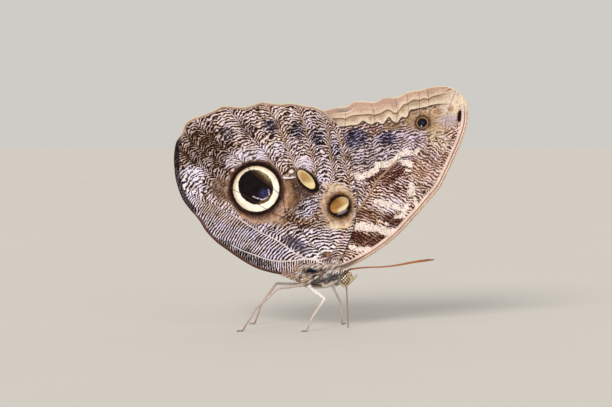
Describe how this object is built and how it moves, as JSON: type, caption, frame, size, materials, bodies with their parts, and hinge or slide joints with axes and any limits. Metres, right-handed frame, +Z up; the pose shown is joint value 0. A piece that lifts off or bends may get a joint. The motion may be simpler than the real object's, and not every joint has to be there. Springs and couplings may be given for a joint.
{
  "type": "owl butterfly",
  "caption": "Life-size still owl butterfly standing with its wings closed above its back, a large eyespot on each hindwing, its legs spread and its tongue down.",
  "frame": {"origin": "on the floor, under the middle of the model's box, between the feet", "axes": "+X where the head points, +Y the animal's left side, +Z up"},
  "size_m": [0.0997, 0.0226, 0.0824],
  "materials": {
    "wing_scales": "dull powdery scales, brown and lilac-white ripples",
    "body_hair": "soft brown and grey hair",
    "eye": "glossy, finely faceted, striped",
    "feeler": "orange-brown, faintly ringed",
    "leg": "pale, finely scaled",
    "tongue": "horn-like, satin"
  },
  "bodies": {
    "root": {"forewing_right": "wing_scales", "forewing_left": "wing_scales", "hindwing_right": "wing_scales", "hindwing_left": "wing_scales", "thorax": "body_hair", "head": "body_hair", "abdomen": "body_hair", "palp_right": "body_hair", "palp_left": "body_hair", "foreleg_right": "body_hair", "foreleg_left": "body_hair", "eye_right": "eye", "eye_left": "eye", "antenna_right": "feeler", "antenna_left": "feeler", "proboscis": "tongue", "leg_mid_right": "leg", "leg_mid_left": "leg", "leg_hind_right": "leg", "leg_hind_left": "leg"}
  },
  "joints": []
}
